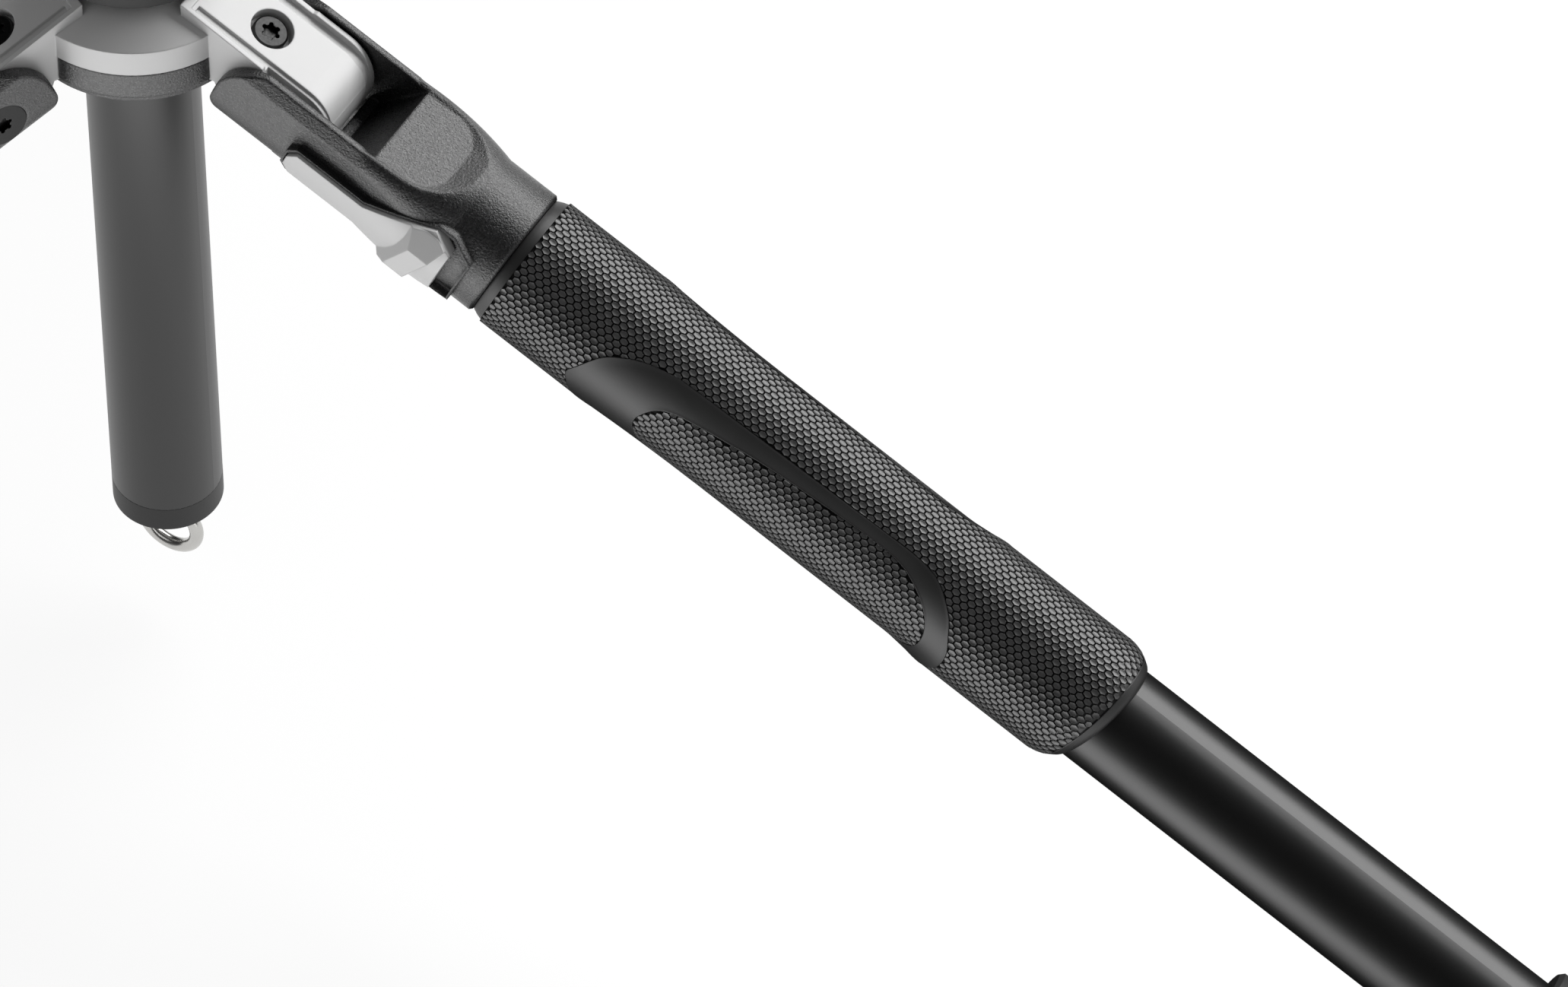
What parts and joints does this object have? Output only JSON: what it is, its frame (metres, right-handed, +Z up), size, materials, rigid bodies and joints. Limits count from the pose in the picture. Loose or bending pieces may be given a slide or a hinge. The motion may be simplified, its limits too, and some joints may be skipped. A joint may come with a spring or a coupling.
{
  "type": "travel tripod",
  "caption": "Travel tripod legs with a silver crown, twist-lock sections, a honeycomb rubber grip, sliding angle selectors and a short rising column with a camera stud.",
  "frame": {"origin": "centre of the head plate's top face, at the root of its camera stud", "axes": "+Z up along the column and the stud, +X over the leg with the rubber grip"},
  "size_m": [0.6764, 0.7776, 0.2468],
  "materials": {
    "silver_paint": "satin",
    "cast_black": "fine textured",
    "black_anodised": "satin",
    "nut_rubber": "matt",
    "grip_rubber": "matt",
    "foot_rubber": "matt",
    "bearing_plastic": "smooth",
    "black_plastic": "matt",
    "dark_steel": "blackened",
    "plate_black": "satin",
    "bright_steel": "satin"
  },
  "bodies": {
    "crown": {"crown": "silver_paint", "hub": "cast_black", "column_bush": "bearing_plastic", "pivot_bushes": "bearing_plastic", "arm_screws": "dark_steel"},
    "column": {"column": "black_anodised", "head_plate": "plate_black", "head_stud": "bright_steel", "plate_set_screws": "dark_steel", "column_cap": "black_plastic"},
    "column_lock": {"column_lock": "nut_rubber"},
    "hook": {"hook": "bright_steel"},
    "leg_1": {"leg_bracket_1": "cast_black", "pivot_bolt_1": "dark_steel", "leg_tube_1_1": "black_anodised", "collet_1_1": "bearing_plastic", "selector_spring_1": "bright_steel", "leg_grip": "grip_rubber"},
    "selector_1": {"angle_selector_1": "silver_paint"},
    "section_2_1": {"leg_tube_2_1": "black_anodised", "collet_2_1": "bearing_plastic"},
    "section_3_1": {"leg_tube_3_1": "black_anodised", "collet_3_1": "bearing_plastic"},
    "section_4_1": {"leg_tube_4_1": "black_anodised", "foot_1": "foot_rubber"},
    "nut_1_1": {"twist_nut_1_1": "nut_rubber"},
    "nut_2_1": {"twist_nut_2_1": "nut_rubber"},
    "nut_3_1": {"twist_nut_3_1": "nut_rubber"},
    "leg_2": {"leg_bracket_2": "cast_black", "pivot_bolt_2": "dark_steel", "leg_tube_1_2": "black_anodised", "collet_1_2": "bearing_plastic", "selector_spring_2": "bright_steel"},
    "selector_2": {"angle_selector_2": "silver_paint"},
    "section_2_2": {"leg_tube_2_2": "black_anodised", "collet_2_2": "bearing_plastic"},
    "section_3_2": {"leg_tube_3_2": "black_anodised", "collet_3_2": "bearing_plastic"},
    "section_4_2": {"leg_tube_4_2": "black_anodised", "foot_2": "foot_rubber"},
    "nut_1_2": {"twist_nut_1_2": "nut_rubber"},
    "nut_2_2": {"twist_nut_2_2": "nut_rubber"},
    "nut_3_2": {"twist_nut_3_2": "nut_rubber"},
    "leg_3": {"leg_bracket_3": "cast_black", "pivot_bolt_3": "dark_steel", "leg_tube_1_3": "black_anodised", "collet_1_3": "bearing_plastic", "selector_spring_3": "bright_steel"},
    "selector_3": {"angle_selector_3": "silver_paint"},
    "section_2_3": {"leg_tube_2_3": "black_anodised", "collet_2_3": "bearing_plastic"},
    "section_3_3": {"leg_tube_3_3": "black_anodised", "collet_3_3": "bearing_plastic"},
    "section_4_3": {"leg_tube_4_3": "black_anodised", "foot_3": "foot_rubber"},
    "nut_1_3": {"twist_nut_1_3": "nut_rubber"},
    "nut_2_3": {"twist_nut_2_3": "nut_rubber"},
    "nut_3_3": {"twist_nut_3_3": "nut_rubber"}
  },
  "joints": [
    {"name": "column_raise", "type": "slide", "parent": "crown", "child": "column", "axis": [0, 0, 1], "range_m": [0, 0.115]},
    {"name": "column_lock_turn", "type": "hinge", "parent": "crown", "child": "column_lock", "pos_m": [0, 0, -0.0105], "axis": [0, 0, 1], "range_deg": [0, 90]},
    {"name": "hook_swivel", "type": "hinge", "parent": "column", "child": "hook", "pos_m": [0, 0, -0.1965], "axis": [0, 0, 1], "continuous": true},
    {"name": "leg_spread_1", "type": "hinge", "parent": "crown", "child": "leg_1", "pos_m": [0.04, 0, -0.05032], "axis": [0, -1, 0], "range_deg": [-66, 114]},
    {"name": "selector_slide_1", "type": "slide", "parent": "leg_1", "child": "selector_1", "axis": [0.9135, 0, -0.4067], "range_m": [0, 0.004], "stiffness_N_per_m": 800, "springref_m": -0.002, "deforming": ["selector_spring_1"]},
    {"name": "nut_1_turn_1", "type": "hinge", "parent": "leg_1", "child": "nut_1_1", "pos_m": [0.35517, 0, -0.19064], "axis": [0.9135, 0, -0.4067], "range_deg": [0, 90]},
    {"name": "section_2_slide_1", "type": "slide", "parent": "leg_1", "child": "section_2_1", "axis": [0.9135, 0, -0.4067], "range_m": [0, 0.25]},
    {"name": "nut_2_turn_1", "type": "hinge", "parent": "section_2_1", "child": "nut_2_1", "pos_m": [0.38313, 0, -0.20309], "axis": [0.9135, 0, -0.4067], "range_deg": [0, 90]},
    {"name": "section_3_slide_1", "type": "slide", "parent": "section_2_1", "child": "section_3_1", "axis": [0.9135, 0, -0.4067], "range_m": [0, 0.25]},
    {"name": "nut_3_turn_1", "type": "hinge", "parent": "section_3_1", "child": "nut_3_1", "pos_m": [0.41108, 0, -0.21553], "axis": [0.9135, 0, -0.4067], "range_deg": [0, 90]},
    {"name": "section_4_slide_1", "type": "slide", "parent": "section_3_1", "child": "section_4_1", "axis": [0.9135, 0, -0.4067], "range_m": [0, 0.25]},
    {"name": "leg_spread_2", "type": "hinge", "parent": "crown", "child": "leg_2", "pos_m": [-0.02, 0.03464, -0.05032], "axis": [0.866, 0.5, 0], "range_deg": [-66, 114]},
    {"name": "selector_slide_2", "type": "slide", "parent": "leg_2", "child": "selector_2", "axis": [-0.4568, 0.7912, -0.4067], "range_m": [0, 0.004], "stiffness_N_per_m": 800, "springref_m": -0.002, "deforming": ["selector_spring_2"]},
    {"name": "nut_1_turn_2", "type": "hinge", "parent": "leg_2", "child": "nut_1_2", "pos_m": [-0.17759, 0.30759, -0.19064], "axis": [-0.4568, 0.7912, -0.4067], "range_deg": [0, 90]},
    {"name": "section_2_slide_2", "type": "slide", "parent": "leg_2", "child": "section_2_2", "axis": [-0.4568, 0.7912, -0.4067], "range_m": [0, 0.25]},
    {"name": "nut_2_turn_2", "type": "hinge", "parent": "section_2_2", "child": "nut_2_2", "pos_m": [-0.19156, 0.3318, -0.20309], "axis": [-0.4568, 0.7912, -0.4067], "range_deg": [0, 90]},
    {"name": "section_3_slide_2", "type": "slide", "parent": "section_2_2", "child": "section_3_2", "axis": [-0.4568, 0.7912, -0.4067], "range_m": [0, 0.25]},
    {"name": "nut_3_turn_2", "type": "hinge", "parent": "section_3_2", "child": "nut_3_2", "pos_m": [-0.20554, 0.35601, -0.21553], "axis": [-0.4568, 0.7912, -0.4067], "range_deg": [0, 90]},
    {"name": "section_4_slide_2", "type": "slide", "parent": "section_3_2", "child": "section_4_2", "axis": [-0.4568, 0.7912, -0.4067], "range_m": [0, 0.25]},
    {"name": "leg_spread_3", "type": "hinge", "parent": "crown", "child": "leg_3", "pos_m": [-0.02, -0.03464, -0.05032], "axis": [-0.866, 0.5, 0], "range_deg": [-66, 114]},
    {"name": "selector_slide_3", "type": "slide", "parent": "leg_3", "child": "selector_3", "axis": [-0.4568, -0.7912, -0.4067], "range_m": [0, 0.004], "stiffness_N_per_m": 800, "springref_m": -0.002, "deforming": ["selector_spring_3"]},
    {"name": "nut_1_turn_3", "type": "hinge", "parent": "leg_3", "child": "nut_1_3", "pos_m": [-0.17759, -0.30759, -0.19064], "axis": [-0.4568, -0.7912, -0.4067], "range_deg": [0, 90]},
    {"name": "section_2_slide_3", "type": "slide", "parent": "leg_3", "child": "section_2_3", "axis": [-0.4568, -0.7912, -0.4067], "range_m": [0, 0.25]},
    {"name": "nut_2_turn_3", "type": "hinge", "parent": "section_2_3", "child": "nut_2_3", "pos_m": [-0.19156, -0.3318, -0.20309], "axis": [-0.4568, -0.7912, -0.4067], "range_deg": [0, 90]},
    {"name": "section_3_slide_3", "type": "slide", "parent": "section_2_3", "child": "section_3_3", "axis": [-0.4568, -0.7912, -0.4067], "range_m": [0, 0.25]},
    {"name": "nut_3_turn_3", "type": "hinge", "parent": "section_3_3", "child": "nut_3_3", "pos_m": [-0.20554, -0.35601, -0.21553], "axis": [-0.4568, -0.7912, -0.4067], "range_deg": [0, 90]},
    {"name": "section_4_slide_3", "type": "slide", "parent": "section_3_3", "child": "section_4_3", "axis": [-0.4568, -0.7912, -0.4067], "range_m": [0, 0.25]}
  ]
}
